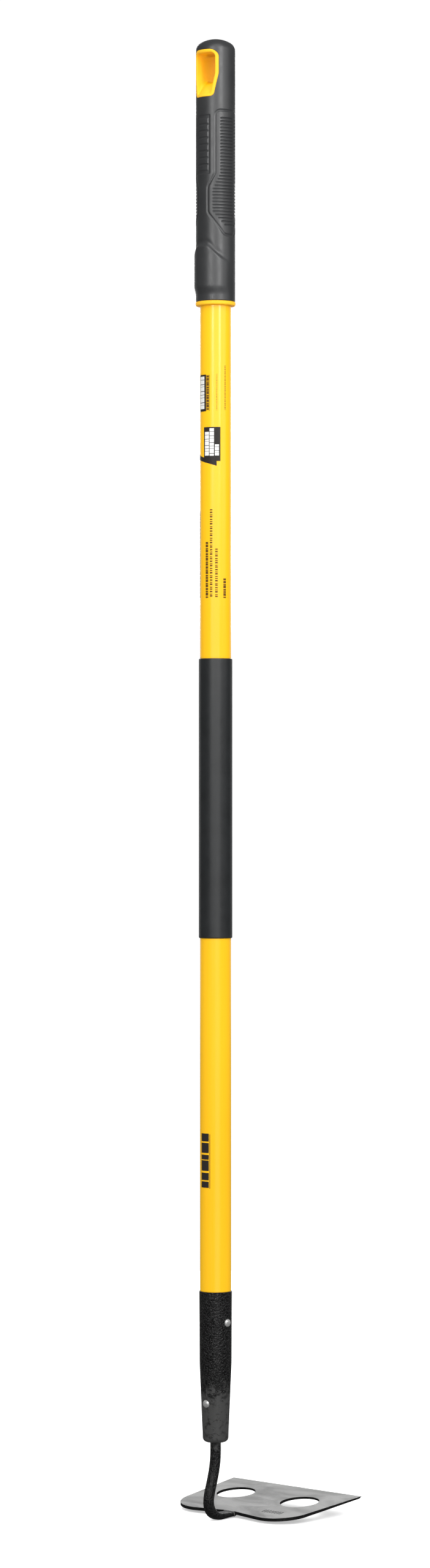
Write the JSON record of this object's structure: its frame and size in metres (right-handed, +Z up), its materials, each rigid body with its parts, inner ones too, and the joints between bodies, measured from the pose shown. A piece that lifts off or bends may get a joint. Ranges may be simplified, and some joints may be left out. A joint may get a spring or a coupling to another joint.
{
  "type": "two-hole mixing hoe",
  "caption": "Long-handled mixing hoe: a flat lobed blade with round holes on a bent neck, a tubular shaft with a ferrule and mid sleeve, and a soft grip with a hang slot.",
  "frame": {"origin": "middle of the hang slot's flat ceiling in the grip, where a hook bears", "axes": "+Z up along the handle, +X the way the blade points, +Y to the left of it; the plane Y = 0 is the mirror plane"},
  "size_m": [0.1506, 0.1782, 1.5283],
  "materials": {
    "soft_grip": "soft-touch satin",
    "yellow_plastic": "moulded gloss",
    "yellow_glass_fibre": "smooth gloss",
    "soft_sleeve": "satin",
    "black_paint": "wrinkled satin black",
    "hardwood": "bare turned",
    "rivet_steel": "bright",
    "ground_steel": "ground, faint streaks"
  },
  "bodies": {
    "root": {"grip_overmould": "soft_grip", "grip_core": "yellow_plastic", "shaft_tube": "yellow_glass_fibre", "mid_sleeve": "soft_sleeve", "ferrule": "black_paint", "tang_plug": "hardwood", "upper_rivet": "rivet_steel", "lower_rivet": "rivet_steel", "gooseneck": "black_paint", "blade": "ground_steel", "weld_seam": "ground_steel"}
  },
  "joints": []
}
